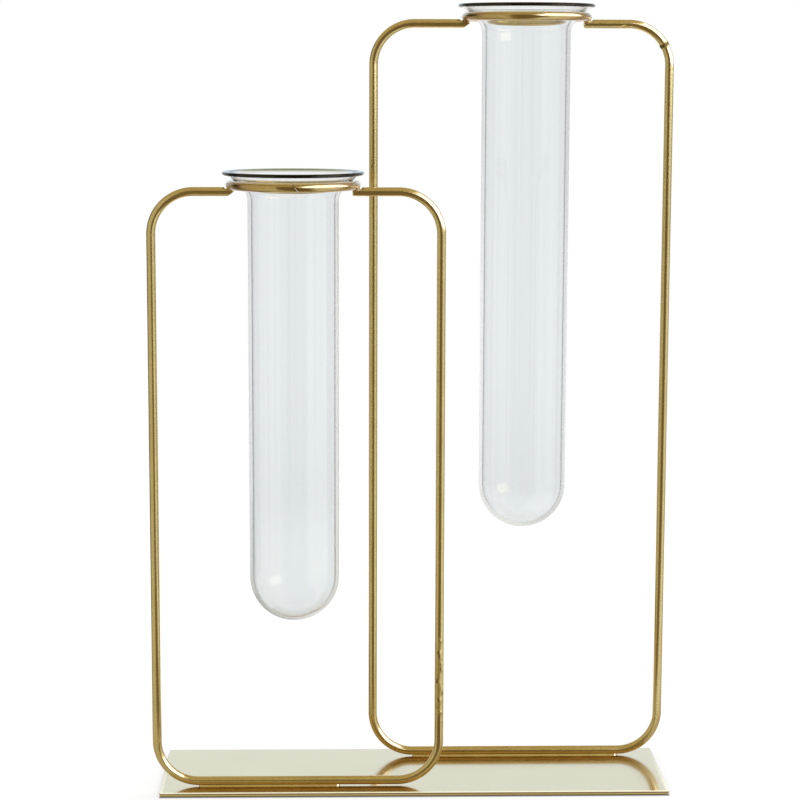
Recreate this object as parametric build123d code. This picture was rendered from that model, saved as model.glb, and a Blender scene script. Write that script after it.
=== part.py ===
from build123d import *
from collections import namedtuple
from math import cos, radians, sin, tan
import os

# Test tube vase: two flared glass tubes hang in wire rings. Each ring is welded on the arm ends of a
# bent wire frame, and both frames stand on one thin base plate.
# Millimetres, +Z up, front towards -Y. The origin is the middle of the plate's underside.

# Base plate, cut from sheet
PLATE_LENGTH = 172.0
PLATE_DEPTH = 50.0
PLATE_THICKNESS = 1.3
PLATE_CORNER_RADIUS = 1.0
PLATE_EDGE_RADIUS = 0.3

# Wire of the frames and rings, with bends measured to the middle of the wire
WIRE_DIAMETER = 3.0
BEND_RADIUS = 14.0
WIRE_END_CHAMFER = 0.4

# Frames: widths between the middles of the uprights, heights from the plate to the middle of the arms
FRONT_FRAME_WIDTH = 95.4
FRONT_FRAME_HEIGHT = 201.4
REAR_FRAME_WIDTH = 100.8
REAR_FRAME_HEIGHT = 256.5
FRAME_INSET = 8.25  # middle of a bottom bar from the long edge of the plate
FRAME_OVERHANG = 1.1  # middle of an outer upright past the end of the plate

# Glass tubes
TUBE_DIAMETER = 30.0
TUBE_WALL = 1.2
FRONT_TUBE_LENGTH = 150.0
REAR_TUBE_LENGTH = 180.0
NECK_RADIUS = 5.0  # first bend of the mouth, on the outside
FLARE_ANGLE = 45.0  # degrees between the tube's axis and the cone of the mouth
LIP_RADIUS = 4.0  # second bend of the mouth, on the outside
LIP_ANGLE = 85.0  # degrees between the tube's axis and the glass at the rim
CONE_MARGIN = 0.8  # the cone runs on this far outside the line where the ring meets it

# Rings
RING_CLEARANCE = 4.1  # between the straight side of a tube and its ring
SEAT_CLEARANCE = 0.2  # between the cone of a mouth and its ring
FRONT_RING_SHIFT = -1.0  # middle of the ring from the middle of its frame
REAR_RING_SHIFT = 1.5
RING_JOINT_GAP = 0.2
RING_JOINT_SLANT = 39.0  # degrees from upright
FRONT_JOINT_ANGLE = 272.5  # degrees around the ring from +X
REAR_JOINT_ANGLE = 90.0

# Arm ends, notched from above so that the ring drops in
ARM_REACH = 1.2  # arm end past the middle of the ring's wire
NOTCH_DEPTH = 0.75
NOTCH_RUN = 1.3  # flat of the notch on the other side of the ring's wire
NOTCH_SLOPE = 45.0  # degrees between the notch's shoulder and upright
TIP_BEVEL = 2.0  # slant under the end of a left arm, along the wire

# Welds
WELD_GAP = 0.02
RING_BEAD_RADIUS = 1.8
BAR_GAP = 0.35  # between a bottom bar and the plate, filled by the weld seam
SEAM_WIDTH = 2.2  # at the plate
SEAM_CLIMB = 0.3  # up the sides of the bar from its underside
SEAM_TAPER = 21.0  # degrees between the sides of the seam and upright
FRONT_SEAM_SHARE = 0.71  # of the straight run of the bottom bar, from its left end
REAR_SEAM_SHARE = 1.0

# Sizes that follow from these
wire_radius = WIRE_DIAMETER / 2
tube_radius = TUBE_DIAMETER / 2
ring_radius = tube_radius + RING_CLEARANCE + wire_radius
notch_floor = wire_radius - NOTCH_DEPTH  # above the middle of the arm
ring_rise = notch_floor + wire_radius + WELD_GAP
bar_height = PLATE_THICKNESS + BAR_GAP + wire_radius
frame_offset = PLATE_DEPTH / 2 - FRAME_INSET
upright_reach = PLATE_LENGTH / 2 + FRAME_OVERHANG
joint_cut_size = 2 * WIRE_DIAMETER

Station = namedtuple("Station", "left right y arm_height ring_x tube_length joint_angle seam_share")


def station(left, right, y, frame_height, ring_shift, tube_length, joint_angle, seam_share):
    """Places of one frame, with the ring and the tube that it carries."""
    ring_x = (left + right) / 2 + ring_shift
    arm_height = PLATE_THICKNESS + frame_height
    return Station(left, right, y, arm_height, ring_x, tube_length, joint_angle, seam_share)


stations = {
    "front": station(
        left=-upright_reach,
        right=FRONT_FRAME_WIDTH - upright_reach,
        y=-frame_offset,
        frame_height=FRONT_FRAME_HEIGHT,
        ring_shift=FRONT_RING_SHIFT,
        tube_length=FRONT_TUBE_LENGTH,
        joint_angle=FRONT_JOINT_ANGLE,
        seam_share=FRONT_SEAM_SHARE,
    ),
    "rear": station(
        left=upright_reach - REAR_FRAME_WIDTH,
        right=upright_reach,
        y=frame_offset,
        frame_height=REAR_FRAME_HEIGHT,
        ring_shift=REAR_RING_SHIFT,
        tube_length=REAR_TUBE_LENGTH,
        joint_angle=REAR_JOINT_ANGLE,
        seam_share=REAR_SEAM_SHARE,
    ),
}


def base_plate():
    """Sheet with slightly rounded corners and softened edges."""
    plate = Box(PLATE_LENGTH, PLATE_DEPTH, PLATE_THICKNESS, align=(Align.CENTER, Align.CENTER, Align.MIN))
    plate = fillet(plate.edges().filter_by(Axis.Z), PLATE_CORNER_RADIUS)
    broad_faces = plate.faces().filter_by(Axis.Z)
    return fillet(broad_faces.edges(), PLATE_EDGE_RADIUS)


def arm_ends(place):
    """Tip of each arm of a frame under its ring, and the direction from there along the arm."""
    reach = ring_radius - ARM_REACH
    return (place.ring_x - reach, -1), (place.ring_x + reach, 1)


def frame_path(place):
    """Middle of the frame's wire: arm, upright, bottom bar, upright, arm."""
    (left_tip, _), (right_tip, _) = arm_ends(place)
    return FilletPolyline(
        (left_tip, place.y, place.arm_height),
        (place.left, place.y, place.arm_height),
        (place.left, place.y, bar_height),
        (place.right, place.y, bar_height),
        (place.right, place.y, place.arm_height),
        (right_tip, place.y, place.arm_height),
        radius=BEND_RADIUS,
    )


def round_wire(path, radius):
    """Round bar of the given radius along a path."""
    section = Plane(origin=path @ 0, z_dir=path % 0) * Circle(radius)
    return sweep(section, path=path)


def across_wire(place, corners):
    """Block right across the wire, with its outline given in X and Z from the middle of an arm's tip."""
    upright = Plane(origin=(0, place.y, place.arm_height), x_dir=(1, 0, 0), z_dir=(0, -1, 0))
    return extrude(upright * make_face(Polyline(*corners, close=True)), WIRE_DIAMETER, both=True)


def arm_notch(place, tip, along, skin):
    """Cut that opens the top of an arm from its tip to a sloping shoulder past the ring."""
    floor = notch_floor + skin
    foot = tip + along * (ARM_REACH + NOTCH_RUN - skin)
    shoulder = along * WIRE_DIAMETER * tan(radians(NOTCH_SLOPE))
    outside = tip - along * WIRE_DIAMETER
    corners = [
        (outside, floor),
        (foot, floor),
        (foot + shoulder, floor + WIRE_DIAMETER),
        (outside, floor + WIRE_DIAMETER),
    ]
    return across_wire(place, corners)


def tip_bevel(place, tip, along):
    """Cut under an arm's tip, from the middle of the wire to its underside."""
    corners = [
        (tip - along * TIP_BEVEL, wire_radius),
        (tip + along * 2 * TIP_BEVEL, -WIRE_DIAMETER),
        (tip - along * TIP_BEVEL, -WIRE_DIAMETER),
    ]
    return across_wire(place, corners)


def ring_height(place):
    """Height of the middle of a ring's wire."""
    return place.arm_height + ring_rise


def ring_torus(place, radius):
    """Closed ring of the given wire radius at its place on the arms."""
    return Pos(place.ring_x, place.y, ring_height(place)) * Torus(ring_radius, radius)


def wire_frame(place):
    """Bent wire with chamfered and notched ends."""
    wire = round_wire(frame_path(place), wire_radius)
    cut_ends = wire.faces().filter_by(GeomType.PLANE)
    wire = chamfer(cut_ends.edges(), WIRE_END_CHAMFER)
    for tip, along in arm_ends(place):
        wire -= arm_notch(place, tip, along, skin=0)
    left_end, _ = arm_ends(place)
    return wire - tip_bevel(place, *left_end)


def wire_ring(place):
    """Ring of wire with a slanted butt joint."""
    cut = Box(joint_cut_size, RING_JOINT_GAP, joint_cut_size)
    middle = Pos(place.ring_x, place.y, ring_height(place))
    at_joint = middle * Rot(Z=place.joint_angle) * Pos(X=ring_radius) * Rot(X=RING_JOINT_SLANT)
    return ring_torus(place, wire_radius) - at_joint * cut


def ring_welds(place):
    """Bead in the notch under the ring, on both sides of it, ending where the arm ends."""
    wire = round_wire(frame_path(place), wire_radius + WELD_GAP)
    ring = ring_torus(place, wire_radius + WELD_GAP)
    bead_height = place.arm_height + notch_floor
    side = 2 * RING_BEAD_RADIUS
    beads = []
    for tip, along in arm_ends(place):
        arm = wire - arm_notch(place, tip, along, skin=WELD_GAP)
        ball = Pos(tip + along * ARM_REACH, place.y, bead_height) * Sphere(RING_BEAD_RADIUS)
        past_tip = Pos(tip + along * side / 2, place.y, bead_height) * Box(side, side, side)
        beads.extend(((ball & past_tip) - arm - ring).solids())
    return Compound(children=beads)


def base_welds(place):
    """Low seam that fills the gap under the bottom bar, from the left end of its straight run."""
    wire = round_wire(frame_path(place), wire_radius + WELD_GAP)
    run_start = place.left + BEND_RADIUS
    run_end = place.right - BEND_RADIUS
    length = place.seam_share * (run_end - run_start)
    foot = Pos(run_start + length / 2, place.y, PLATE_THICKNESS) * SlotOverall(length, SEAM_WIDTH)
    return extrude(foot, BAR_GAP + SEAM_CLIMB, taper=SEAM_TAPER) - wire


def glass_tube(place):
    """Test tube with a round bottom and a trumpet mouth, hung by the cone of its mouth in the ring.

    The section is drawn with the start of the mouth at height zero. The mouth turns outwards in two
    bends with the straight cone between them, and the inside runs one wall thickness from the outside.
    """
    flare = radians(FLARE_ANGLE)
    lip = radians(LIP_ANGLE)
    bore_radius = tube_radius - TUBE_WALL
    seat_radius = wire_radius + SEAT_CLEARANCE

    neck_middle = Vector(tube_radius + NECK_RADIUS, 0)
    cone_out = Vector(cos(flare), -sin(flare))
    cone_start = neck_middle - cone_out * NECK_RADIUS
    seat_x = ring_radius - seat_radius * cos(flare)
    cone_width = seat_x + CONE_MARGIN - cone_start.X
    cone_end = cone_start + Vector(cone_width, cone_width / tan(flare))
    lip_middle = cone_end + cone_out * LIP_RADIUS
    lip_out = Vector(cos(lip), -sin(lip))
    lip_end = lip_middle - lip_out * LIP_RADIUS
    rim_middle = lip_end - lip_out * (TUBE_WALL / 2)
    rim_edge = rim_middle + Vector(sin(lip), cos(lip)) * (TUBE_WALL / 2)

    rim_top = rim_middle.Y + TUBE_WALL / 2
    bottom = rim_top - place.tube_length
    bowl_height = bottom + tube_radius
    ring_level = cone_start.Y + (seat_x - cone_start.X) / tan(flare) - seat_radius * sin(flare)

    neck_turn = 180 - FLARE_ANGLE
    lip_turn = FLARE_ANGLE - LIP_ANGLE
    with BuildSketch(Plane.XZ) as section:
        with BuildLine():
            CenterArc((0, bowl_height), tube_radius, 270, 90)
            Line((tube_radius, bowl_height), (tube_radius, 0))
            CenterArc(neck_middle, NECK_RADIUS, 180, -FLARE_ANGLE)
            Line(cone_start, cone_end)
            CenterArc(lip_middle, LIP_RADIUS, neck_turn, lip_turn)
            ThreePointArc(lip_end, rim_edge, lip_end - lip_out * TUBE_WALL)
            CenterArc(lip_middle, LIP_RADIUS + TUBE_WALL, neck_turn, lip_turn)
            Line(cone_start - cone_out * TUBE_WALL, cone_end - cone_out * TUBE_WALL)
            CenterArc(neck_middle, NECK_RADIUS + TUBE_WALL, 180, -FLARE_ANGLE)
            Line((bore_radius, 0), (bore_radius, bowl_height))
            CenterArc((0, bowl_height), bore_radius, 270, 90)
            Line((0, bottom + TUBE_WALL), (0, bottom))
        make_face()
    tube = revolve(section.sketch, Axis.Z)
    return Pos(place.ring_x, place.y, ring_height(place) - ring_level) * tube


os.makedirs("parts", exist_ok=True)
export_step(base_plate(), "parts/base_plate.step")
for name, place in stations.items():
    export_step(wire_frame(place), f"parts/{name}_frame.step")
    export_step(wire_ring(place), f"parts/{name}_ring.step")
    export_step(ring_welds(place), f"parts/{name}_ring_welds.step")
    export_step(base_welds(place), f"parts/{name}_base_welds.step")
    export_step(glass_tube(place), f"parts/{name}_tube.step")
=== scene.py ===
"""Test tube vase: two flared glass tubes hang in a stand of bent gold wire on a polished gold plate.

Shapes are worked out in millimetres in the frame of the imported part: +Z up, front towards -Y, with the
origin in the middle of the plate's underside. They are turned into metres as they become meshes.
"""

import bpy
import numpy as np
from mathutils import Color, Matrix


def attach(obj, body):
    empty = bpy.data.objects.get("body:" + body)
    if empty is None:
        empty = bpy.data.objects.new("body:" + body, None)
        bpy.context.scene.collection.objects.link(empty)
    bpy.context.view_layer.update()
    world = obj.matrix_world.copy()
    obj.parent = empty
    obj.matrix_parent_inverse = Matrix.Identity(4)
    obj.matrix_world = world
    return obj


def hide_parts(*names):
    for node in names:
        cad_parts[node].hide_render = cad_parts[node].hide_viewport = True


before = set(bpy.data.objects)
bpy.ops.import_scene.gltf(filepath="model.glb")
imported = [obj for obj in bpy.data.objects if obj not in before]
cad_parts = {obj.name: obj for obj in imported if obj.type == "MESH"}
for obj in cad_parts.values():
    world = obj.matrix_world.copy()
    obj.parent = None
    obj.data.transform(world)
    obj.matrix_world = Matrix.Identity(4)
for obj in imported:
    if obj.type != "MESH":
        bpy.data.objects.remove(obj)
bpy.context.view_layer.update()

MILLIMETRE = 0.001
SCREEN_LEVELS = 255
FIRST_COLOUR, SECOND_COLOUR, MIXED_COLOUR = 6, 7, 2  # sockets of a node that mixes colours

# Base plate
PLATE_LENGTH = 172.0
PLATE_DEPTH = 50.0
PLATE_THICKNESS = 1.3
PLATE_CORNER_RADIUS = 1.0
PLATE_EDGE_RADIUS = 0.3
PLATE_STEPS = (20.0, 12.0, 6.0, 3.0, 1.5, 1.2, 0.9, 0.6)  # rows of a flat face, by distance from its sides
LEAST_CORNER = 0.02  # corner radius of the rows that lie further in than the corner's own radius
HIGHLIGHT_WIDTH = 0.5  # painted highlight: strip along the sides of the front half that is painted near white
HIGHLIGHT_FADE = 1.0  # distance inside it over which the painted highlight fades
LINE_SHARE = 0.68  # height of the dark line along the cut edge, as a share of the thickness
LINE_HALF_WIDTH = 0.15

# Wire of the frames and rings
WIRE_RADIUS = 1.5
BEND_RADIUS = 14.0
END_CHAMFER = 0.4
BAR_HEIGHT = 3.15  # middle of a bottom bar above the plate's underside

# Arm ends: distances run from the tip along the arm, heights from the middle of the arm
NOTCH_FLOOR = 0.75
NOTCH_RUN = 2.5
NOTCH_RISE = 1.0  # climb of the notch's shoulder for each step along the arm
TIP_BEVEL = 2.0
TIP_ZONE = 4.0

# Rings
RING_RADIUS = 20.6
RING_RISE = 2.27  # middle of a ring above the middle of its arms
ARM_REACH = 1.2
JOINT_GAP = 0.08
JOINT_SLANT = 39.0
JOINT_ZONE = 9.0  # degrees of the ring over which the slant of its end fades away
JOINT_CHAMFER = 0.3

# Welds
BEAD_SIZE = (1.25, 1.75, 1.3)
LUMP_SHARES = (0.045, 0.03)  # how far a bead swells and sinks
WELD_GAP = 0.02
SEAM_FOOT = 1.2  # half the width of a seam on the plate
SEAM_CROWN = 0.85  # half its width where it meets the wire
SEAM_RIPPLES = ((0.012, 2.9, 0.0), (0.02, 0.7, 1.0))  # share of the width, pace in radians, start in radians

# Marks that the making left on the wire, and painted shade beside its drops of lacquer
SCORCH_LEAST = 0.3  # browning of a ring's lacquer half-way between its welds, as a share of that at a weld
RIDGE_ANGLE = 30.0  # degrees from level round the right top bend
RIDGE_HEIGHT = 0.15
RIDGE_HALF_WIDTH = 3.6  # degrees
RIDGE_POWER = 4  # how steep its flanks are
DENT_OFFSET = 1.4  # along the arm from the end of the bend
DENT_DEPTH = 0.35
DENT_HALF_WIDTH = 0.6
DENT_ANGLE = 50.0  # degrees round the wire from its front to the dent
DENT_SPREAD = 0.16  # how far the dent reaches round the wire, as a fall of the cosine
DENT_WEAR = 0.8  # how matt the dent is
FRONT_OF_WIRE = 180.0  # angle round the wire that faces the viewer, in degrees
BLISTER_STRETCH = (27.0, 52.0)  # heights between which drops of lacquer stand on an upright
BLISTERS = 13
BLISTER_HEIGHT = 0.2
BLISTER_WIDTH = 0.6
BLISTER_LENGTH = 0.75
BLISTER_RISE = 0.7  # mean height of a drop, as a share of the full one
BLISTER_ANGLE = 20.0  # degrees round the wire from its front to the row of drops
ROUGH_SHARE = 0.5  # how rough the finish is all along the drops
ROUGH_POWER = 8  # how steeply that ends
SHADE_SPOT_SHARE = 0.85  # how dark the painted shade is in the spots beside the drops
SHADE_SPOT_LIFT = 0.4  # distance of a painted shade spot above its drop
SHADE_SPOT_TURN = 0.35  # and round the wire, in radians
SHADE_SPOT_WIDTH = 0.55  # width of a painted shade spot, as a share of a drop's

# How the drops vary along their stretch: an amount, and the pace of its wave
SHIFT_WAVE = (0.02, 37)
WIDE_ANGLE_WAVE = (28.0, 59)
FINE_ANGLE_WAVE = (16.0, 131)
LENGTH_WAVE = (0.25, 53)
RISE_WAVE = (0.3, 31)

# Glass tubes
TUBE_RADIUS = 15.0
TUBE_WALL = 1.2
NECK_RADIUS = 5.0
FLARE_ANGLE = 45.0
CONE_WIDTH = 3.734
LIP_RADIUS = 4.0
LIP_ANGLE = 85.0
# Painted shade: the glass is darkened near its rim and where its wall is seen edge-on
RIM_WIDTH = 1.1  # distance from the rim's edge over which the glass takes painted shade
FOOT_WIDTH = 5.0  # the same from the middle of the bottom
EDGE_LEAST = 0.12  # share of the painted edge shade on the outside wall
LOWER_BOWL = 0.5  # share of the round bottom's height under which the outside can take painted edge shade
DEEPER_GLASS = (50.0, 150.0)  # heights between which the glass deepens downwards

# Rows and columns of the surfaces
SHARP_ANGLE = 35.0  # degrees between two faces from which their edge is shaded sharp
WIRE_SIDES = 48
TIP_ROWS = 41
RUN_ROWS = 33
DROP_ROWS = 601
DROP_RUN = 3  # run of a frame with the most rows: the right upright, counted from the left arm
BEND_ROWS = 181
RING_ROWS = 256
CHAMFER_ROWS = 5
PLATE_EDGE_ROWS = 7
PLATE_SIDE_ROWS = 9
PLATE_CORNER_ROWS = 9
BEAD_ROWS = 28
BEAD_SIDES = 40
SEAM_ROWS = 320
SEAM_FLANK_ROWS = 7
SEAM_ROOF_ROWS = 11
TUBE_SIDES = 192
BOWL_ROWS = 33
WALL_ROWS = 40
NECK_ROWS = 17
CONE_ROWS = 6
LIP_ROWS = 15
RIM_ROWS = 17

# One row for each frame with its ring and its tube
stations = {
    "front": dict(left=-87.1, right=8.3, y=-16.75, arm=202.7, ring_x=-40.4, joint=272.5,
                  mouth=199.703, length=150.0, seam_share=0.71, marks="blisters"),
    "rear": dict(left=-13.7, right=87.1, y=16.75, arm=257.8, ring_x=38.2, joint=90.0,
                 mouth=254.803, length=180.0, seam_share=1.0, marks="tool marks"),
}

# Camera, fitted to the plate, the wires and the tubes in the photograph
CAMERA_PLACE = (-24.12, -768.7, 243.88)
CAMERA_YAW = 1.44
CAMERA_PITCH = -8.33
CAMERA_ROLL = 0.17
CAMERA_LENS = 103.01
CAMERA_SENSOR = 36.0

# Floor of the studio
FLOOR_RADIUS = 440.0
FLOOR_MIDDLE = (0.0, 140.0)
FLOOR_ROWS = 24
FLOOR_SIDES = 96
FLOOR_WHITE = 0.95
SHADOW_SHARE = 0.7  # how far the floor near the object takes its shadow
SHADOW_FADE = (0.35, 0.95)  # shares of the floor's radius between which that ends
NEAR_FLOOR = 0.6  # level of the floor at the plate in mirror reflections
NEAR_FADE = (1.2, 2.4)  # half sizes of the plate between which that gives way to the room's colours
CONTACT_SHADOW_WIDTH = 1.6  # painted contact shadow: dark line on the floor at the plate's front, away from the soft box
CONTACT_SHADOW_DEPTH = 0.8

# Colours of the room in mirror reflections
WHITE_CLOTH = (0.87, 1.02, 1.16, 1.0)
DARK_GAP = (0.08, 0.08, 0.08, 1.0)
CAMERA_SIDE = (0.21, 0.17, 0.13, 1.0)
LEFT_FRONT = (0.66, 0.68, 0.7, 1.0)
LEFT_REAR = (0.53, 0.55, 0.57, 1.0)
RIGHT_FRONT = (0.92, 1.1, 1.5, 1.0)
RIGHT_MIDDLE = (0.98, 1.08, 1.4, 1.0)
RIGHT_REAR = (0.56, 0.56, 0.57, 1.0)
CEILING = (0.58, 0.53, 0.4, 1.0)
EYE_LEVEL_DIM = 0.28  # share that the room loses near eye level
GLASS_SHARE = 0.35  # how far a mirrored ray out of glass sees the room in place of plain white

# Upward parts of a direction between which the room dims, turns from low to high, and becomes the ceiling
EYE_LEVEL_RISE = (-0.11, -0.03)
HORIZON_RISE = (0.0, 0.06)
CEILING_RISE = (0.33, 0.55)

# The room round the object, by the angle in degrees from straight behind it, positive to the right. None
# stands for the cloth, which is cool above the horizon and plain white below.
room_colours = [
    (-180, CAMERA_SIDE), (-152, CAMERA_SIDE), (-138, LEFT_FRONT), (-90, LEFT_FRONT), (-80, LEFT_REAR),
    (-72, DARK_GAP), (-44, DARK_GAP), (-28, None), (24, None), (38, RIGHT_REAR),
    (80, RIGHT_REAR), (90, RIGHT_MIDDLE), (110, RIGHT_MIDDLE), (138, RIGHT_FRONT), (152, CAMERA_SIDE),
    (180, CAMERA_SIDE),
]

# Walls of the light tent on the left, each with the two ends of its foot on the floor and its colour
WALL_HEIGHT = 260.0
walls = {
    "left_front_wall": ((-105.0, -150.0), (-150.0, -20.0), LEFT_FRONT),
    "left_rear_wall": ((-150.0, 45.0), (-150.0, 250.0), LEFT_REAR),
}

# Lamps: where each stands, where it faces, its width and height, its level and colour, and the finish that a
# window shines on alone. Wires mirror their windows in white streaks on the bends, and glass mirrors its own
# in small lights at its neck and bottom.
lamps = {
    "soft_box": dict(place=(260.0, 520.0, 560.0), target=(0.0, 0.0, 150.0), size=(700.0, 700.0),
                     level=1.2, colour=(1.0, 1.0, 1.0), finish=None),
    "side_window": dict(place=(1500.0, -2000.0, 900.0), target=(0.0, -2000.0, 900.0), size=(5000.0, 1260.0),
                        level=6.0, colour=(0.4, 0.48, 1.0), finish="gold_wire"),
    "roof_window": dict(place=(1085.0, -2000.0, 1500.0), target=(1075.0, -2000.0, 0.0), size=(5000.0, 830.0),
                        level=6.0, colour=(0.4, 0.48, 1.0), finish="gold_wire"),
    "glass_window": dict(place=(1500.0, -780.0, 620.0), target=(0.0, -20.0, 150.0), size=(1300.0, 700.0),
                         level=2.4, colour=(1.0, 1.0, 1.0), finish="clear_glass"),
}


def paint(red, green, blue):
    """Colour from its values on screen, 0 to 255, as the linear values that shaders take."""
    screen = Color(np.array([red, green, blue]) / SCREEN_LEVELS)
    return (*screen.from_srgb_to_scene_linear(), 1.0)


def grey(level):
    """Neutral colour of a given linear level."""
    return (level, level, level, 1.0)


# Finishes: colours, and the numbers of flakes and clouds in a metre of the grain
FLAKE_NOISE = {"Detail": 3.0, "Roughness": 0.65}
CLOUD_NOISE = {"Detail": 4.0, "Roughness": 0.55}
FLAKE_RANGE = (0.34, 0.66)  # values of a noise that are spread over its whole range
CLOUD_RANGE = (0.3, 0.7)
WIRE_GRAIN = (2200.0, 90.0)
WIRE_TONES = (paint(211, 183, 97), paint(221, 194, 108))
WIRE_FLAKES = paint(182, 140, 54)
# Dark brown of worn lacquer, also used for the painted shade beside the drops
WIRE_WEAR_AND_SHADE = paint(128, 104, 50)
WIRE_SCORCHED = paint(160, 112, 16)
WIRE_ROUGHNESS = (0.14, 0.22)
WIRE_BUMP = 0.06  # height of the grain
WIRE_BUMP_SHARE = 0.25  # how far it shows
WIRE_COAT = {"Coat Roughness": 0.06, "Coat IOR": 1.6}
FLAKE_SHARE = 0.5  # how far the flakes show in the tone
SCORCH_PATCHES = (1.0, 0.7)  # how far the browning shows between the clouds and in them
WEAR_AND_SHADE_FROM = 0.55  # level of wear and painted shade from which the lacquer turns dark brown
WORN_ROUGHNESS = 0.5  # roughness that full wear adds
PLATE_GRAIN = (1500.0, 45.0)
PLATE_TONES = (paint(218, 190, 126), paint(224, 197, 136))
PLATE_CUT = paint(226, 192, 98)
PLATE_LINE = paint(70, 52, 20)
PLATE_PAINTED_HIGHLIGHT = paint(255, 250, 222)
PLATE_ROUGHNESS = (0.16, 0.2)
PLATE_BUMP = 0.05  # height of the grain
PLATE_BUMP_SHARE = 0.03  # how far it shows
PLATE_COAT = {"Coat Roughness": 0.1, "Coat IOR": 1.9}
STREAKS = (1100.0, 1100.0, 3.0)  # in a metre of glass across the tube and along it
STREAK_NOISE = {"Scale": 1.0, "Detail": 2.0}
GLASS_INDEX = 1.48  # how far the glass bends light
GLASS_TONES = (paint(242, 244, 244), paint(245, 247, 247))
GLASS_DEEP = paint(238, 240, 239)
# Painted shade for glass seen edge-on and at the rim
GLASS_EDGE_SHADE = paint(14, 20, 18)
GLASS_RIM_SHADE = paint(78, 88, 24)
GLASS_GLINT = (1.0, 0.84, 0.5, 1.0)
EDGE_BLEND = 0.5  # even measure of the turn away from the eye
EDGE_FACING = (0.68, 0.86)  # turn away from the eye over which painted shade darkens the wall of the glass
RIM_FADE = (0.2, 0.8)  # nearness to the rim over which painted shade darkens the glass


# Surfaces


dressed = {"gold_wire": [], "gold_plate": [], "clear_glass": []}  # pieces in each finish


def add_object(name, data):
    """New object in the scene for a mesh, a lamp or a camera."""
    item = bpy.data.objects.new(name, data)
    bpy.context.scene.collection.objects.link(item)
    return item


def add_piece(name, rings, body, nodes, slot, material, marks=None):
    """Closed surface over a stack of rings, an array of rows by sides by three.

    Each ring is joined to the next by four-sided faces, and the first and the last ring are closed to
    their middles. The faces are turned outwards by the sign of the volume that they enclose, which is the
    sum of a . (b x c) over the surface. Marks are values for each row or for each point, kept as attributes
    of the mesh.
    """
    rows, sides, _ = rings.shape
    points = np.vstack([rings.reshape(-1, 3), rings[0].mean(0), rings[-1].mean(0)])
    low_pole = rows * sides
    row = np.arange(rows - 1)[:, None] * sides
    here = np.arange(sides)[None, :]
    following = (here + 1) % sides
    above = row + sides
    quads = np.stack([row + here, row + following, above + following, above + here], -1).reshape(-1, 4)
    last = (rows - 1) * sides
    low_fan = np.stack([np.full(sides, low_pole), following[0], here[0]], -1)
    high_fan = np.stack([np.full(sides, low_pole + 1), last + here[0], last + following[0]], -1)
    triangles = np.vstack([quads[:, :3], quads[:, [0, 2, 3]], low_fan, high_fan])
    a, b, c = (points[triangles[:, corner]] for corner in range(3))
    if np.einsum("ij,ij->", a, np.cross(b, c)) < 0:
        quads, low_fan, high_fan = quads[:, ::-1], low_fan[:, ::-1], high_fan[:, ::-1]
    mesh = bpy.data.meshes.new(name)
    mesh.from_pydata(points * MILLIMETRE, [], [*quads.tolist(), *low_fan.tolist(), *high_fan.tolist()])
    mesh.polygons.foreach_set("use_smooth", np.ones(len(mesh.polygons), bool))
    mesh.set_sharp_from_angle(angle=np.radians(SHARP_ANGLE))
    for mark, values in (marks or {}).items():
        attribute = mesh.attributes.new(mark, "FLOAT", "POINT")
        spread = np.broadcast_to(values.reshape(rows, -1), (rows, sides))
        with_poles = np.append(spread.ravel(), [spread[0].mean(), spread[-1].mean()])
        attribute.data.foreach_set("value", with_poles.astype(np.float32))
    mesh.materials.append(material)
    mesh.update()
    piece = add_object(name, mesh)
    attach(piece, body)
    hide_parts(*nodes)
    dressed[slot].append(piece)


def arc(middle, radius, start, turn, rows):
    """Points of a circular arc in the plane of a profile, from a start angle through a turn, in degrees."""
    angle = np.radians(start + turn * np.linspace(0, 1, rows))
    return np.stack([middle[0] + radius * np.cos(angle), middle[1] + radius * np.sin(angle)], -1)


def straight(start, end, rows):
    """Points along a line, without its two ends."""
    share = np.linspace(0, 1, rows + 2)[1:-1, None]
    return np.asarray(start) * (1 - share) + np.asarray(end) * share


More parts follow.
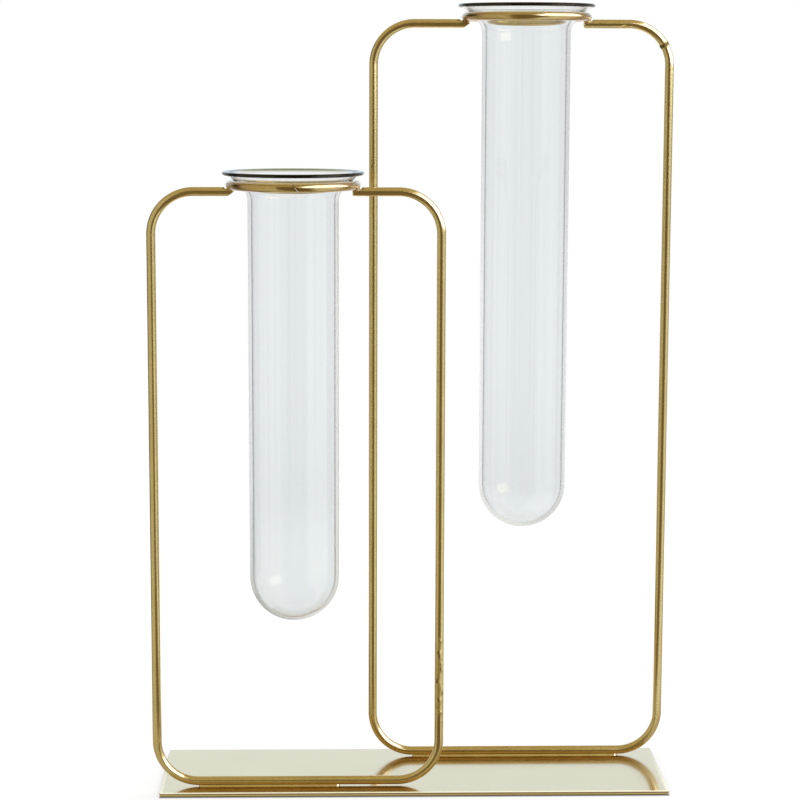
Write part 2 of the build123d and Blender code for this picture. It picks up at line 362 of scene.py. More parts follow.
def frame_line(place):
    """Middle of a frame's wire, its heading, and the distance of each row from the tips of both arms.

    The wire runs along an arm, down an upright, along the bottom bar, up the other upright and along the
    other arm. Its corners are quarter circles: on a bend of radius r that starts at s and turns from
    heading a to heading b, the point at angle t is s + r sin t a + r (1 - cos t) b.
    """
    reach = RING_RADIUS - ARM_REACH
    corners = np.array([
        (place["ring_x"] - reach, place["arm"]),
        (place["left"], place["arm"]),
        (place["left"], BAR_HEIGHT),
        (place["right"], BAR_HEIGHT),
        (place["right"], place["arm"]),
        (place["ring_x"] + reach, place["arm"]),
    ])
    steps = np.diff(corners, axis=0)
    headings = steps / np.linalg.norm(steps, axis=1, keepdims=True)
    starts = corners[:-1] + headings * BEND_RADIUS
    starts[0] = corners[0]
    ends = corners[1:] - headings * BEND_RADIUS
    ends[-1] = corners[-1]
    tip_share = np.linspace(0, TIP_ZONE, TIP_ROWS) / np.linalg.norm(ends[0] - starts[0])
    far_share = np.linspace(0, TIP_ZONE, TIP_ROWS) / np.linalg.norm(ends[-1] - starts[-1])
    run_share = np.linspace(0, 1, RUN_ROWS)
    turn = np.radians(np.linspace(0, 90, BEND_ROWS))[1:-1, None]
    points, ways = [], []
    for run, heading in enumerate(headings):
        share = np.linspace(0, 1, DROP_ROWS) if run == DROP_RUN else run_share
        if run == 0:
            share = np.append(tip_share, run_share[run_share > tip_share[-1]])
        if run == len(headings) - 1:
            share = np.append(run_share[run_share < 1 - far_share[-1]], 1 - far_share[::-1])
        points.append(starts[run] + share[:, None] * (ends[run] - starts[run]))
        ways.append(np.broadcast_to(heading, points[-1].shape))
        if run < len(headings) - 1:
            onward = headings[run + 1]
            bend = np.sin(turn) * heading + (1 - np.cos(turn)) * onward
            points.append(ends[run] + BEND_RADIUS * bend)
            ways.append(np.cos(turn) * heading + np.sin(turn) * onward)
    line = np.vstack(points)
    way = np.vstack(ways)
    from_left = np.hypot(*(line - corners[0]).T)
    from_right = np.hypot(*(line - corners[-1]).T)
    return line, way, from_left, from_right


def blisters(place, line, turn):
    """Height of the drops of lacquer on the right upright's front, and the wear and painted shade of its
    finish there.

    The height is the sum of bell curves, e to the minus square of the distance from each drop's middle along
    and round the wire. The finish is rough all along them, and dark brown with painted shade in spots of the
    same form a little to the left and above. Place, length and height of the drops vary as waves along their
    stretch.
    """
    low, high = BLISTER_STRETCH
    share = np.linspace(0, 1, BLISTERS)

    def wave(amount, pace, curve=np.sin):
        return amount * curve(pace * share)

    height = low + (high - low) * (share + wave(*SHIFT_WAVE))
    angle = np.radians(FRONT_OF_WIRE + BLISTER_ANGLE + wave(*WIDE_ANGLE_WAVE) + wave(*FINE_ANGLE_WAVE))
    length = BLISTER_LENGTH + wave(*LENGTH_WAVE)
    rise = BLISTER_RISE + wave(*RISE_WAVE, np.cos)
    on_upright = np.abs(line[:, :1] - place["right"]) < WIRE_RADIUS
    along = (2 * line[:, 1:] - low - high) / (high - low)
    rough = ROUGH_SHARE * on_upright * np.exp(-along ** ROUGH_POWER) + 0 * turn

    def bells(lift, shift, width):
        up = (line[:, 1, None, None] - height - lift) / length
        round_by = WIRE_RADIUS * np.sin((turn[:, :, None] - angle + shift) / 2) * 2 / width
        return on_upright * (rise * np.exp(-up ** 2 - round_by ** 2)).sum(-1)

    # Painted shade: dark spots at the side of each drop away from the light
    shade_spots = SHADE_SPOT_SHARE * bells(SHADE_SPOT_LIFT, SHADE_SPOT_TURN, SHADE_SPOT_WIDTH * BLISTER_WIDTH)
    return BLISTER_HEIGHT * bells(0, 0, BLISTER_WIDTH), np.clip(rough + shade_spots, 0, 1)


def tool_marks(place, line, turn):
    """Height of a pinched ridge across the right top bend and of a dent low on the arm just past the bend,
    and how worn the finish is there. Each is a bell curve, e to the minus square or a higher power of its
    distance.
    """
    middle = np.array([place["right"] - BEND_RADIUS, place["arm"] - BEND_RADIUS])
    angle = np.degrees(np.arctan2(*(line - middle).T[::-1]))[:, None] - RIDGE_ANGLE
    on_bend = np.abs(np.hypot(*(line - middle).T)[:, None] - BEND_RADIUS) < WIRE_RADIUS
    ridge = on_bend * np.exp(-(angle / RIDGE_HALF_WIDTH) ** RIDGE_POWER)
    along = line[:, :1] - (middle[0] - DENT_OFFSET)
    on_arm = (line[:, 1:] > place["arm"] - WIRE_RADIUS) & (line[:, :1] > place["ring_x"])
    round_low = np.cos(turn - np.radians(FRONT_OF_WIRE - DENT_ANGLE))
    dent = on_arm * np.exp(-(along / DENT_HALF_WIDTH) ** 2) * np.exp(-((1 - round_low) / DENT_SPREAD) ** 2)
    return RIDGE_HEIGHT * ridge - DENT_DEPTH * dent, np.maximum(ridge, DENT_WEAR * dent) + 0 * turn


def frame_rings(place):
    """Round wire along the frame's line: middle + r (cos w across + sin w out), for w right round.

    Near a tip the radius shrinks over the chamfer. The height of every point is kept under the notch in
    the arm and above the slant under the left tip, so that the cuts come out flat.

    Returns the wire with a mark: how far its lacquer is worn, and where it carries painted shade beside the
    drops.
    """
    line, way, from_left, from_right = frame_line(place)
    tip = np.minimum(from_left, from_right)
    turn = np.linspace(0, 2 * np.pi, WIRE_SIDES, endpoint=False)[None, :]
    mark = blisters if place["marks"] == "blisters" else tool_marks
    bump, wear_and_shade = mark(place, line, turn)
    radius = WIRE_RADIUS - np.clip(END_CHAMFER - tip, 0, None)[:, None] + bump
    out = np.stack([-way[:, 1], way[:, 0]], -1)
    x = line[:, :1] + radius * np.sin(turn) * out[:, :1]
    y = place["y"] + radius * np.cos(turn)
    z = line[:, 1:] + radius * np.sin(turn) * out[:, 1:]
    ceiling = place["arm"] + NOTCH_FLOOR + NOTCH_RISE * np.clip(tip - NOTCH_RUN, 0, None)
    slant = np.where(from_left < TIP_ZONE, place["arm"] - WIRE_RADIUS * from_left / TIP_BEVEL, 0)
    z = np.clip(z, slant[:, None], ceiling[:, None])
    return np.stack([x, y, z], -1), {"wear_and_shade": wear_and_shade}


def ring_rings(place):
    """Wire ring with a slanted butt joint: the point at angle p round the ring and w round the wire is
    ((R + r cos w) cos p, (R + r cos w) sin p, r sin w). Near the joint p is shifted by the height of the
    point times the tangent of the slant, so that both ends are cut on the same slanted plane, and r shrinks
    over a small chamfer.

    Returns the ring with a mark: how far its lacquer is browned by the heat of the welds at its two sides.
    """
    gap = np.degrees(JOINT_GAP / RING_RADIUS)
    bevel = np.degrees(JOINT_CHAMFER / RING_RADIUS)
    chamfer = bevel * np.linspace(0, 1, CHAMFER_ROWS)[:-1]
    body = np.linspace(gap / 2 + bevel, 180, RING_ROWS // 2)
    half = np.append(gap / 2 + chamfer, body)
    along = np.append(half, 360 - half[-2::-1])
    from_end = np.minimum(along, 360 - along)
    fade = np.clip(1 - from_end / JOINT_ZONE, 0, 1)[:, None]
    into = np.radians(from_end - gap / 2) * RING_RADIUS
    radius = WIRE_RADIUS - np.clip(JOINT_CHAMFER - into, 0, None)[:, None]
    turn = np.linspace(0, 2 * np.pi, WIRE_SIDES, endpoint=False)[None, :]
    height = radius * np.sin(turn)
    lean = -height * np.tan(np.radians(JOINT_SLANT)) / RING_RADIUS
    angle = np.radians(place["joint"] + along)[:, None] + fade * lean
    reach = RING_RADIUS + radius * np.cos(turn)
    x = place["ring_x"] + reach * np.cos(angle)
    y = place["y"] + reach * np.sin(angle)
    z = place["arm"] + RING_RISE + height
    scorch = SCORCH_LEAST + (1 - SCORCH_LEAST) * np.cos(np.radians(place["joint"] + along)) ** 2
    return np.stack([x, y, z], -1), {"scorch": scorch}


def plate_rings():
    """Flat plate: outlines of a rounded rectangle stacked from the middle of the underside, round the edge,
    to the middle of the top. An outline drawn in by d has its half sides and its corner shortened by d.

    Returns the outlines with three marks: where the cut edge is, how dark the line along it is, by a bell
    curve of the height, and how far the top carries a painted highlight along its sides, on the front half.
    """
    edge = np.radians(np.linspace(0, 90, PLATE_EDGE_ROWS))
    round_in = PLATE_EDGE_RADIUS * (1 - np.sin(edge))
    round_up = PLATE_EDGE_RADIUS * (1 - np.cos(edge))
    flat = np.array(PLATE_STEPS)
    upright = np.linspace(PLATE_EDGE_RADIUS, PLATE_THICKNESS - PLATE_EDGE_RADIUS, PLATE_SIDE_ROWS)[1:-1]
    draw_in = np.concatenate([flat, round_in, 0 * upright, round_in[::-1], flat[::-1]])
    round_down = PLATE_THICKNESS - round_up[::-1]
    height = np.concatenate([0 * flat, round_up, upright, round_down, 0 * flat + PLATE_THICKNESS])
    corner = np.clip(PLATE_CORNER_RADIUS - draw_in, LEAST_CORNER, None)[:, None]
    quarter = np.linspace(0, 90, PLATE_CORNER_ROWS)
    corner_start = np.repeat(90 * np.arange(4), PLATE_CORNER_ROWS)
    angle = np.radians(np.tile(quarter, 4) + corner_start)[None, :]
    middle_angle = np.radians(corner_start + 45)[None, :]
    side_x = np.sign(np.cos(middle_angle))
    side_y = np.sign(np.sin(middle_angle))
    x = side_x * (PLATE_LENGTH / 2 - draw_in[:, None] - corner) + corner * np.cos(angle)
    y = side_y * (PLATE_DEPTH / 2 - draw_in[:, None] - corner) + corner * np.sin(angle)
    z = np.broadcast_to(height[:, None], x.shape)
    on_edge = draw_in < PLATE_EDGE_RADIUS
    line = on_edge * np.exp(-((height - LINE_SHARE * PLATE_THICKNESS) / LINE_HALF_WIDTH) ** 2)
    # Painted highlight: the top of the edge on the front half is painted near white, in place of the
    # highlight it catches
    upper = height > PLATE_THICKNESS - PLATE_EDGE_RADIUS / 2
    painted_highlight_strip = upper * np.clip(1 - (draw_in - HIGHLIGHT_WIDTH) / HIGHLIGHT_FADE, 0, 1)
    marks = {"cut": on_edge.astype(float), "line": line, "painted_highlight": painted_highlight_strip[:, None] * (y < 0)}
    return np.stack([x, y, z], -1), marks


def lump_rings(middle, size, phase):
    """Lumpy weld bead: an egg with half axes a, b, c, whose distance from the middle also swells and sinks
    by a few hundredths with sin(3 p + 2 q) and cos(5 p - 3 q) of its two angles. It is browned all over.
    """
    tilt = np.radians(np.linspace(-90, 90, BEAD_ROWS + 2))[1:-1, None]
    turn = np.linspace(0, 2 * np.pi, BEAD_SIDES, endpoint=False)[None, :]
    waist = np.cos(tilt)
    broad, fine = LUMP_SHARES
    lumps = broad * np.sin(3 * turn + 2 * tilt + phase) + fine * np.cos(5 * turn - 3 * tilt + 2 * phase)
    swell = 1 + waist * lumps
    x = middle[0] + size[0] * swell * waist * np.cos(turn)
    y = middle[1] + size[1] * swell * waist * np.sin(turn)
    z = middle[2] + size[2] * swell * np.sin(tilt)
    return np.stack([x, y, z], -1), {"scorch": np.ones(BEAD_ROWS)}


def seam_rings(place):
    """Weld seam: a low section carried along a bottom bar, from the left end of its straight run.

    The section goes up a sloping flank to the wire, along the wire's underside, down the other flank and back
    along the plate. Its width swells and sinks along the seam as the sum of two sines, and draws in at both
    ends as a half ellipse.
    """
    start = place["left"] + BEND_RADIUS
    length = place["seam_share"] * (place["right"] - BEND_RADIUS - start)
    along = length * (1 - np.cos(np.linspace(0, np.pi, SEAM_ROWS + 2)[1:-1, None])) / 2
    inset = np.clip(np.minimum(along, length - along) / SEAM_FOOT, 0, 1)
    draw_in = np.sqrt(1 - (1 - inset) ** 2)
    swell = 1 + sum(share * np.sin(pace * along + begin) for share, pace, begin in SEAM_RIPPLES)
    foot = SEAM_FOOT * draw_in * swell
    crown = SEAM_CROWN * draw_in
    climb = np.linspace(0, 1, SEAM_FLANK_ROWS)[None, :]
    flank = crown + (foot - crown) * (1 - climb)
    roof = crown * np.linspace(1, -1, SEAM_ROOF_ROWS)[None, 1:-1]
    floor = foot * np.linspace(-1, 1, SEAM_FLANK_ROWS)[None, 1:-1]
    across = np.concatenate([flank, roof, -flank[:, ::-1], floor], 1)
    wire = WIRE_RADIUS + WELD_GAP
    gap = BAR_HEIGHT - PLATE_THICKNESS
    edge = gap - np.sqrt(wire ** 2 - crown ** 2)
    side = edge * climb
    under = gap - np.sqrt(wire ** 2 - roof ** 2)
    up = np.concatenate([side, under, side[:, ::-1], 0 * floor], 1)
    x = np.broadcast_to(start + along, across.shape)
    return np.stack([x, place["y"] + across, PLATE_THICKNESS + up], -1)


def tube_profile(place):
    """Half section of a tube as radius and height, from the middle of the bottom up the outside, over the rim
    and down the inside to the middle of the bottom again. Heights run from the start of the mouth.

    Returns the section, how far each row is from the rim's edge, which rows are on the inside, and how far up
    the round bottom each row is, from nothing at its lowest point to one on the straight wall.
    """
    flare = np.radians(FLARE_ANGLE)
    lip = np.radians(LIP_ANGLE)
    neck_middle = np.array([TUBE_RADIUS + NECK_RADIUS, 0])
    cone_out = np.array([np.cos(flare), -np.sin(flare)])
    cone_start = neck_middle - cone_out * NECK_RADIUS
    cone_end = cone_start + CONE_WIDTH * np.array([1, 1 / np.tan(flare)])
    lip_middle = cone_end + cone_out * LIP_RADIUS
    lip_out = np.array([np.cos(lip), -np.sin(lip)])
    rim_middle = lip_middle - lip_out * (LIP_RADIUS + TUBE_WALL / 2)
    bottom = rim_middle[1] + TUBE_WALL / 2 - place["length"]
    bowl = np.array([0, bottom + TUBE_RADIUS])
    neck_turn = 180 - FLARE_ANGLE
    bore = TUBE_RADIUS - TUBE_WALL
    outside = [
        arc(bowl, TUBE_RADIUS, 270, 90, BOWL_ROWS)[1:],
        straight((TUBE_RADIUS, bowl[1]), (TUBE_RADIUS, 0), WALL_ROWS),
        arc(neck_middle, NECK_RADIUS, 180, -FLARE_ANGLE, NECK_ROWS),
        straight(cone_start, cone_end, CONE_ROWS),
        arc(lip_middle, LIP_RADIUS, neck_turn, FLARE_ANGLE - LIP_ANGLE, LIP_ROWS),
    ]
    rim = arc(rim_middle, TUBE_WALL / 2, 360 - LIP_ANGLE, 180, RIM_ROWS)[1:-1]
    inside = [
        arc(lip_middle, LIP_RADIUS + TUBE_WALL, 180 - LIP_ANGLE, LIP_ANGLE - FLARE_ANGLE, LIP_ROWS),
        straight(cone_end - cone_out * TUBE_WALL, cone_start - cone_out * TUBE_WALL, CONE_ROWS),
        arc(neck_middle, NECK_RADIUS + TUBE_WALL, neck_turn, FLARE_ANGLE, NECK_ROWS),
        straight((bore, 0), (bore, bowl[1]), WALL_ROWS),
        arc(bowl, bore, 360, -90, BOWL_ROWS)[:-1],
    ]
    section = np.vstack([*outside, rim, *inside])
    first_inside = sum(map(len, outside)) + len(rim)
    rim_edge = rim[len(rim) // 2]
    from_rim = np.hypot(*(section - rim_edge).T)
    within = (np.arange(len(section)) >= first_inside).astype(float)
    up_bowl = np.clip((section[:, 1] - bottom) / TUBE_RADIUS, 0, 1)
    return section, from_rim, within, up_bowl


def tube_rings(place):
    """Surface of revolution of the tube's half section about the upright axis through its ring.

    Returns the surface and two marks: how near a point is to the rim, and how much painted shade the wall
    takes edge-on, which is most on the inside, little on the outside, less down the round bottom, and again
    at its foot.
    """
    section, from_rim, within, up_bowl = tube_profile(place)
    turn = np.linspace(0, 2 * np.pi, TUBE_SIDES, endpoint=False)[None, :]
    x = place["ring_x"] + section[:, :1] * np.cos(turn)
    y = place["y"] + section[:, :1] * np.sin(turn)
    z = np.broadcast_to(place["mouth"] + section[:, 1:], x.shape)
    wall = up_bowl * (EDGE_LEAST + (1 - EDGE_LEAST) * within)
    foot = (1 - within) * np.exp(-(section[:, 0] / FOOT_WIDTH) ** 2) * (up_bowl < LOWER_BOWL)
    marks = {"rim": np.exp(-(from_rim / RIM_WIDTH) ** 2), "wall": np.maximum(wall, foot)}
    return np.stack([x, y, z], -1), marks


# Finishes


def add_node(tree, kind, inputs=None, **settings):
    """New node with its settings; each input is linked if a socket is given and set if a value is."""
    node = tree.nodes.new(kind)
    for name, value in settings.items():
        setattr(node, name, value)
    for name, value in (inputs or {}).items():
        if isinstance(value, bpy.types.NodeSocket):
            tree.links.new(value, node.inputs[name])
        else:
            node.inputs[name].default_value = value
    return node


def combine(tree, operation, first, second=0.0):
    """Result of an operation on one or two values."""
    return add_node(tree, "ShaderNodeMath", {0: first, 1: second}, operation=operation).outputs[0]


def blend(tree, share, first, second):
    """Colour between two others."""
    inputs = {0: share, FIRST_COLOUR: first, SECOND_COLOUR: second}
    node = add_node(tree, "ShaderNodeMix", inputs, data_type="RGBA")
    return node.outputs[MIXED_COLOUR]


def between(tree, value, low, high, start=0.0, end=1.0):
    """Value carried smoothly from the range low to high into the range start to end."""
    inputs = {"Value": value, "From Min": low, "From Max": high, "To Min": start, "To Max": end}
    node = add_node(tree, "ShaderNodeMapRange", inputs, interpolation_type="SMOOTHSTEP")
    return node.outputs[0]


def mark_on(tree, name):
    """Value of a mark that a mesh carries, and nothing on a mesh without it."""
    return add_node(tree, "ShaderNodeAttribute", attribute_name=name).outputs["Fac"]


def new_material(name):
    """Empty material with its node tree and its output node."""
    material = bpy.data.materials.new(name)
    material.use_nodes = True
    tree = material.node_tree
    tree.nodes.clear()
    return material, tree, tree.nodes.new("ShaderNodeOutputMaterial")


def grain_group():
    """Fine grain of a sprayed metal finish: a speckle of flakes, soft clouds in the tone, and a height."""
    tree = bpy.data.node_groups.new("sprayed_grain", "ShaderNodeTree")
    for name, kind in (("Position", "NodeSocketVector"), ("Flakes per metre", "NodeSocketFloat"),
                       ("Clouds per metre", "NodeSocketFloat")):
        tree.interface.new_socket(name, in_out="INPUT", socket_type=kind)
    for name in ("Speckle", "Clouds", "Height"):
        tree.interface.new_socket(name, in_out="OUTPUT", socket_type="NodeSocketFloat")
    source = tree.nodes.new("NodeGroupInput").outputs
    result = tree.nodes.new("NodeGroupOutput").inputs
    flakes = add_node(tree, "ShaderNodeTexNoise", {
        "Vector": source["Position"], "Scale": source["Flakes per metre"], **FLAKE_NOISE})
    clouds = add_node(tree, "ShaderNodeTexNoise", {
        "Vector": source["Position"], "Scale": source["Clouds per metre"], **CLOUD_NOISE})
    tree.links.new(between(tree, flakes.outputs[0], *FLAKE_RANGE), result["Speckle"])
    tree.links.new(between(tree, clouds.outputs[0], *CLOUD_RANGE), result["Clouds"])
    tree.links.new(flakes.outputs[0], result["Height"])
    return tree


def grain_on(tree, group, flakes, clouds):
    """Grain group placed in a material, with its values; gives its outputs."""
    node = tree.nodes.new("ShaderNodeGroup")
    node.node_tree = group
    position = add_node(tree, "ShaderNodeTexCoord").outputs["Object"]
    tree.links.new(position, node.inputs["Position"])
    node.inputs["Flakes per metre"].default_value = flakes
    node.inputs["Clouds per metre"].default_value = clouds
    return node.outputs


def wire_finish(grain):
    """Satin gold lacquer on wire: olive gold with faint clouds and fine flakes under a clear coat, browned in
    patches by the heat of welding, rough, bare and dark where it is worn, and dark brown in spots of painted
    shade.
    """
    material, tree, output = new_material("satin_gold_wire")
    look = grain_on(tree, grain, *WIRE_GRAIN)
    wear_and_shade = mark_on(tree, "wear_and_shade")
    tone = blend(tree, look["Clouds"], *WIRE_TONES)
    speckled = blend(tree, combine(tree, "MULTIPLY", look["Speckle"], FLAKE_SHARE), tone, WIRE_FLAKES)
    patches = between(tree, look["Clouds"], 0.0, 1.0, *SCORCH_PATCHES)
    scorch = combine(tree, "MULTIPLY", mark_on(tree, "scorch"), patches)
    browned = blend(tree, scorch, speckled, WIRE_SCORCHED)
    # Dark brown where the lacquer is worn, and where painted shade lies beside the drops
    colour = blend(tree, between(tree, wear_and_shade, WEAR_AND_SHADE_FROM, 1.0), browned, WIRE_WEAR_AND_SHADE)
    smooth = between(tree, look["Speckle"], 0.0, 1.0, *WIRE_ROUGHNESS)
    rough = combine(tree, "ADD", smooth, combine(tree, "MULTIPLY", wear_and_shade, WORN_ROUGHNESS))
    coat = combine(tree, "SUBTRACT", 1.0, wear_and_shade)
    bump = add_node(tree, "ShaderNodeBump", {
        "Height": look["Height"], "Strength": WIRE_BUMP_SHARE, "Distance": WIRE_BUMP * MILLIMETRE})
    shader = add_node(tree, "ShaderNodeBsdfPrincipled", {
        "Base Color": colour, "Metallic": 1.0, "Roughness": rough, "Normal": bump.outputs[0],
        "Coat Weight": coat, **WIRE_COAT})
    tree.links.new(shader.outputs[0], output.inputs["Surface"])
    return material


def plate_finish(grain):
    """Polished pale gold plate under a clear lacquer, with faint clouds in its gloss. Its cut edge is deeper
    gold with a dark line, and a strip along the top of its front half is a painted highlight, near white and
    matt.
    """
    material, tree, output = new_material("polished_gold_plate")
    look = grain_on(tree, grain, *PLATE_GRAIN)
    painted_highlight = mark_on(tree, "painted_highlight")
    tone = blend(tree, look["Clouds"], *PLATE_TONES)
    edge = blend(tree, mark_on(tree, "cut"), tone, PLATE_CUT)
    lined = blend(tree, mark_on(tree, "line"), edge, PLATE_LINE)
    # Painted highlight: near white, without metal or coat, where the strip lies
    colour = blend(tree, painted_highlight, lined, PLATE_PAINTED_HIGHLIGHT)
    away_from_highlight = combine(tree, "SUBTRACT", 1.0, painted_highlight)
    rough = between(tree, look["Clouds"], 0.0, 1.0, *PLATE_ROUGHNESS)
    bump = add_node(tree, "ShaderNodeBump", {
        "Height": look["Height"], "Strength": PLATE_BUMP_SHARE, "Distance": PLATE_BUMP * MILLIMETRE})
    shader = add_node(tree, "ShaderNodeBsdfPrincipled", {
        "Base Color": colour, "Metallic": away_from_highlight, "Roughness": rough, "Normal": bump.outputs[0],
        "Coat Weight": away_from_highlight, **PLATE_COAT})
    tree.links.new(shader.outputs[0], output.inputs["Surface"])
    return material


def glass_finish():
    """Clear glass with a faint grey tint deepening downwards, drawn streaks, and painted shade on edges and
    rim.
    """
    material, tree, output = new_material("clear_glass")
    position = add_node(tree, "ShaderNodeTexCoord").outputs["Object"]
    drawn = add_node(tree, "ShaderNodeMapping", {"Vector": position, "Scale": STREAKS})
    streaks = add_node(tree, "ShaderNodeTexNoise", {"Vector": drawn.outputs[0], **STREAK_NOISE})
    up = add_node(tree, "ShaderNodeSeparateXYZ", {0: position}).outputs["Z"]
    low, high = (height * MILLIMETRE for height in DEEPER_GLASS)
    deep = between(tree, up, low, high, 1.0, 0.0)
    clear = blend(tree, between(tree, streaks.outputs[0], *CLOUD_RANGE), *GLASS_TONES)
    body = blend(tree, deep, clear, GLASS_DEEP)
    # Painted shade: the wall darkens where it is seen edge-on, and near the rim
    facing = add_node(tree, "ShaderNodeLayerWeight", {"Blend": EDGE_BLEND}).outputs["Facing"]
    edge = combine(tree, "MULTIPLY", between(tree, facing, *EDGE_FACING), mark_on(tree, "wall"))
    edge_shaded = blend(tree, edge, body, GLASS_EDGE_SHADE)
    colour = blend(tree, between(tree, mark_on(tree, "rim"), *RIM_FADE), edge_shaded, GLASS_RIM_SHADE)
    shader = add_node(tree, "ShaderNodeBsdfPrincipled", {
        "Base Color": colour, "Roughness": 0.0, "IOR": GLASS_INDEX, "Transmission Weight": 1.0,
        "Specular Tint": GLASS_GLINT})
    tree.links.new(shader.outputs[0], output.inputs["Surface"])
    return material


# Studio


def room_group(name, cloth):
    """Colour of the room round the object, from the level part of a direction, for a colour of the cloth."""
    tree = bpy.data.node_groups.new(name, "ShaderNodeTree")
    tree.interface.new_socket("Direction", in_out="INPUT", socket_type="NodeSocketVector")
    tree.interface.new_socket("Colour", in_out="OUTPUT", socket_type="NodeSocketColor")
    direction = tree.nodes.new("NodeGroupInput").outputs["Direction"]
    result = tree.nodes.new("NodeGroupOutput").inputs["Colour"]
    parts = add_node(tree, "ShaderNodeSeparateXYZ", {0: direction}).outputs
    angle = combine(tree, "ARCTAN2", parts["X"], parts["Y"])
    share = add_node(tree, "ShaderNodeMapRange", {"Value": angle, "From Min": -np.pi, "From Max": np.pi})
    ramp = add_node(tree, "ShaderNodeValToRGB", {0: share.outputs[0]})
    stops = ramp.color_ramp.elements
    stops[0].position = 0.0
    stops[-1].position = 1.0
    for turn, _ in room_colours[1:-1]:
        stops.new((turn + 180) / 360)
    for stop, (_, colour) in zip(stops, room_colours):
        stop.color = colour or cloth
    tree.links.new(ramp.outputs[0], result)
    return tree


def mirror_share(tree):
    """How far a ray sees the room in place of plain white: fully after a mirror, less so out of glass."""
    path = add_node(tree, "ShaderNodeLightPath").outputs
    after_mirror = combine(tree, "GREATER_THAN", path["Glossy Depth"], 0.0)
    out_of_glass = between(tree, path["Is Transmission Ray"], 0.0, 1.0, 1.0, GLASS_SHARE)
    return combine(tree, "MULTIPLY", after_mirror, out_of_glass)


def room_on(tree, group, direction):
    """Room group placed in a shader for a direction; gives its colour."""
    node = tree.nodes.new("ShaderNodeGroup")
    node.node_tree = group
    tree.links.new(direction, node.inputs["Direction"])
    return node.outputs["Colour"]


def floor_finish(room):
    """White studio floor, which takes the object's shadow, has a painted contact shadow as a dark line at the
    plate's front, and in mirror reflections fades into the room's colours.
    """
    material, tree, output = new_material("studio_floor")
    position = add_node(tree, "ShaderNodeTexCoord").outputs["Object"]
    middle = [value * MILLIMETRE for value in FLOOR_MIDDLE]
    offset = add_node(tree, "ShaderNodeVectorMath", {0: position, 1: (*middle, 0)}, operation="DISTANCE")
    fade_start, fade_end = (share * FLOOR_RADIUS * MILLIMETRE for share in SHADOW_FADE)
    near = between(tree, offset.outputs["Value"], fade_start, fade_end, SHADOW_SHARE, 0.0)
    plate_share = (2 / PLATE_LENGTH / MILLIMETRE, 2 / PLATE_DEPTH / MILLIMETRE, 0)
    spread = add_node(tree, "ShaderNodeVectorMath", {0: position, 1: plate_share}, operation="MULTIPLY")
    reach = add_node(tree, "ShaderNodeVectorMath", {0: spread.outputs[0]}, operation="LENGTH")
    beyond = between(tree, reach.outputs["Value"], *NEAR_FADE)
    mirrored = blend(tree, beyond, grey(NEAR_FLOOR), room_on(tree, room, position))
    parts = add_node(tree, "ShaderNodeSeparateXYZ", {0: position}).outputs
    # Painted contact shadow: a dark line on the floor just in front of the plate, in both its glow and its
    # shade
    ahead = combine(tree, "ABSOLUTE", combine(tree, "ADD", parts["Y"], PLATE_DEPTH / 2 * MILLIMETRE))
    beside = combine(tree, "LESS_THAN", combine(tree, "ABSOLUTE", parts["X"]), PLATE_LENGTH / 2 * MILLIMETRE)
    line = between(tree, ahead, 0.0, CONTACT_SHADOW_WIDTH * MILLIMETRE, CONTACT_SHADOW_DEPTH, 0.0)
    contact_shadow = combine(tree, "MULTIPLY", line, beside)
    in_mirror = mirror_share(tree)
    colour = blend(tree, contact_shadow, blend(tree, in_mirror, grey(1.0), mirrored), grey(0.0))
    glow = add_node(tree, "ShaderNodeEmission", {"Color": colour, "Strength": 1.0})
    white = blend(tree, contact_shadow, grey(FLOOR_WHITE), grey(0.0))
    shade = add_node(tree, "ShaderNodeBsdfDiffuse", {"Color": white})
    shadowed = combine(tree, "MULTIPLY", near, combine(tree, "SUBTRACT", 1.0, in_mirror))
    mix = add_node(tree, "ShaderNodeMixShader", {0: shadowed, 1: glow.outputs[0], 2: shade.outputs[0]})
    tree.links.new(mix.outputs[0], output.inputs["Surface"])
    return material


def add_floor(room):
    """Level disc under the object: middle + s R (cos p, sin p), with s from nothing to one."""
    share = np.linspace(0, 1, FLOOR_ROWS + 1)[1:, None]
    turn = np.linspace(0, 2 * np.pi, FLOOR_SIDES, endpoint=False)[None, :]
    x = FLOOR_MIDDLE[0] + FLOOR_RADIUS * share * np.cos(turn)
    y = FLOOR_MIDDLE[1] + FLOOR_RADIUS * share * np.sin(turn)
    points = np.vstack([np.stack([x, y, 0 * x], -1).reshape(-1, 3), (*FLOOR_MIDDLE, 0)])
    row = np.arange(FLOOR_ROWS - 1)[:, None] * FLOOR_SIDES
    here = np.arange(FLOOR_SIDES)[None, :]
    following = (here + 1) % FLOOR_SIDES
    outer = row + FLOOR_SIDES
    quads = np.stack([row + here, outer + here, outer + following, row + following], -1).reshape(-1, 4)
    fan = np.stack([np.full(FLOOR_SIDES, len(points) - 1), here[0], following[0]], -1)
    mesh = bpy.data.meshes.new("studio_floor")
    mesh.from_pydata(points * MILLIMETRE, [], [*quads.tolist(), *fan.tolist()])
    mesh.materials.append(floor_finish(room))
    floor = add_object("studio_floor", mesh)


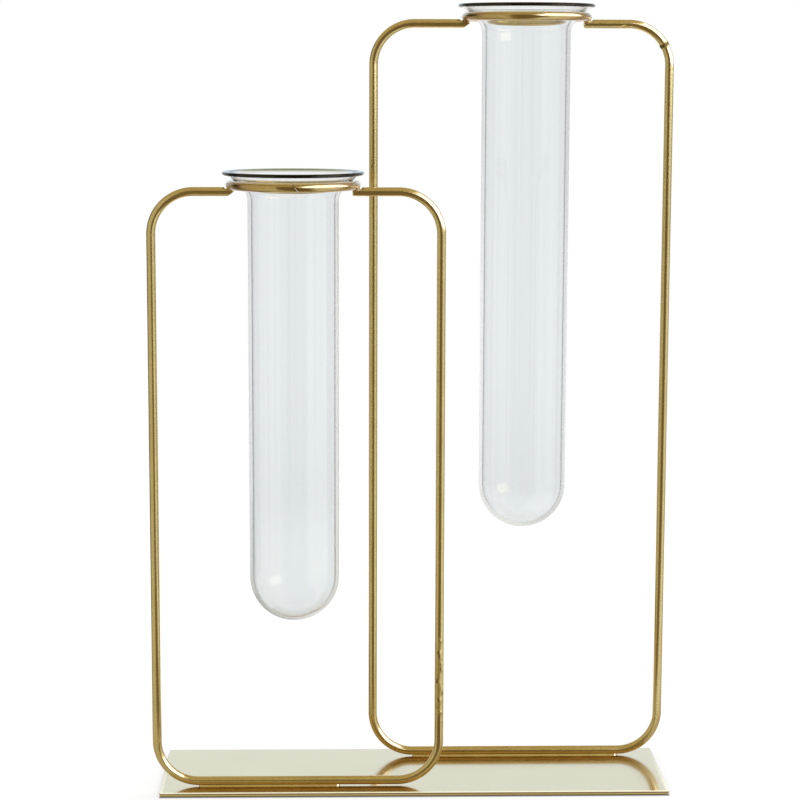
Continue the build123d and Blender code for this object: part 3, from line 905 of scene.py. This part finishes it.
def light_room(room, low_room):
    """World: the room's own colours in mirror reflections, and plain white for every other ray."""
    world = bpy.data.worlds.new("studio")
    bpy.context.scene.world = world
    world.use_nodes = True
    tree = world.node_tree
    tree.nodes.clear()
    output = tree.nodes.new("ShaderNodeOutputWorld")
    way = add_node(tree, "ShaderNodeTexCoord").outputs["Generated"]
    height = add_node(tree, "ShaderNodeSeparateXYZ", {0: way}).outputs["Z"]
    dim = between(tree, height, *EYE_LEVEL_RISE, 0.0, EYE_LEVEL_DIM)
    low = blend(tree, dim, room_on(tree, low_room, way), grey(0.0))
    around = blend(tree, between(tree, height, *HORIZON_RISE), low, room_on(tree, room, way))
    mirrored = blend(tree, between(tree, height, *CEILING_RISE), around, CEILING)
    colour = blend(tree, mirror_share(tree), grey(1.0), mirrored)
    background = add_node(tree, "ShaderNodeBackground", {"Color": colour, "Strength": 1.0})
    tree.links.new(background.outputs[0], output.inputs["Surface"])


def add_wall(name, start, end, colour):
    """Glowing wall of the light tent over a line on the floor, which shows in mirror reflections alone."""
    corners = np.array([(*start, 0), (*end, 0), (*end, WALL_HEIGHT), (*start, WALL_HEIGHT)])
    mesh = bpy.data.meshes.new(name)
    mesh.from_pydata(corners * MILLIMETRE, [], [(0, 1, 2, 3)])
    material, tree, output = new_material(name)
    glow = add_node(tree, "ShaderNodeEmission", {"Color": colour, "Strength": 1.0})
    tree.links.new(glow.outputs[0], output.inputs["Surface"])
    mesh.materials.append(material)
    wall = add_object(name, mesh)
    wall.visible_camera = False
    wall.visible_diffuse = False
    wall.visible_transmission = False
    wall.visible_shadow = False


def unit(vector):
    """Vector of length one in the same direction."""
    return vector / np.linalg.norm(vector)


def stand_at(item, place, across, over, back):
    """Stand an object at a place, with its own three axes along the given directions."""
    turned = Matrix(np.stack([across, over, back], -1).tolist()).to_4x4()
    turned.translation = np.array(place) * MILLIMETRE
    item.matrix_world = turned


def add_lamp(name, place, target, size, level, colour, finish):
    """Flat lamp that faces its target. Its power is its level times pi times its area.

    A window lights only the pieces in one finish, and shows in their reflections.
    """
    lamp = bpy.data.lights.new(name, "AREA")
    lamp.shape = "RECTANGLE"
    lamp.size, lamp.size_y = np.multiply(size, MILLIMETRE)
    lamp.energy = level * np.pi * lamp.size * lamp.size_y
    lamp.color = colour
    stand = add_object(name, lamp)
    away = unit(np.subtract(place, target))
    across = unit(np.cross((0, 0, 1), away))
    stand_at(stand, place, across, np.cross(away, across), away)
    stand.visible_camera = False
    stand.visible_transmission = finish == "clear_glass"
    stand.visible_glossy = finish is not None
    stand.visible_diffuse = finish is None
    if finish is not None:
        lit = bpy.data.collections.new(f"{name}_lit")
        for piece in dressed[finish]:
            lit.objects.link(piece)
        stand.light_linking.receiver_collection = lit


def add_camera():
    """Camera where the photograph was taken from: turned by yaw and pitch, then rolled about its axis."""
    yaw, pitch, roll = np.radians([CAMERA_YAW, CAMERA_PITCH, CAMERA_ROLL])
    forward = np.array([np.sin(yaw) * np.cos(pitch), np.cos(yaw) * np.cos(pitch), np.sin(pitch)])
    level = np.array([np.cos(yaw), -np.sin(yaw), 0])
    over = np.cross(level, forward)
    right = np.cos(roll) * level + np.sin(roll) * over
    top = np.cos(roll) * over - np.sin(roll) * level
    data = bpy.data.cameras.new("camera")
    data.sensor_fit = "HORIZONTAL"
    data.sensor_width = CAMERA_SENSOR
    data.lens = CAMERA_LENS
    camera = add_object("camera", data)
    stand_at(camera, CAMERA_PLACE, right, top, -forward)
    bpy.context.scene.camera = camera


bpy.context.scene.view_settings.view_transform = "Standard"
add_camera()
room = room_group("room", WHITE_CLOTH)
low_room = room_group("low_room", grey(1.0))
light_room(room, low_room)
for name, wall in walls.items():
    add_wall(name, *wall)
add_floor(low_room)

grain = grain_group()
gold_wire = wire_finish(grain)
gold_plate = plate_finish(grain)
clear_glass = glass_finish()

sheet, marks = plate_rings()
add_piece("plate", sheet, "stand", ["base_plate"], "gold_plate", gold_plate, marks)
for side, place in stations.items():
    wire, marks = frame_rings(place)
    add_piece(f"{side}_wire_frame", wire, "stand", [f"{side}_frame"], "gold_wire", gold_wire, marks)
    ring, marks = ring_rings(place)
    add_piece(f"{side}_wire_ring", ring, "stand", [f"{side}_ring"], "gold_wire", gold_wire, marks)
    add_piece(f"{side}_base_seam", seam_rings(place), "stand", [f"{side}_base_welds"], "gold_wire", gold_wire)
    for end, along in (("left", -1), ("right", 1)):
        middle = (place["ring_x"] + along * RING_RADIUS, place["y"], place["arm"] + NOTCH_FLOOR)
        bead, marks = lump_rings(middle, BEAD_SIZE, along)
        add_piece(f"{side}_{end}_bead", bead, "stand", [f"{side}_ring_welds"], "gold_wire", gold_wire, marks)
    tube = f"{side}_tube"
    glass, marks = tube_rings(place)
    add_piece(f"{side}_glass_tube", glass, tube, [tube], "clear_glass", clear_glass, marks)

for name, lamp in lamps.items():
    add_lamp(name, **lamp)
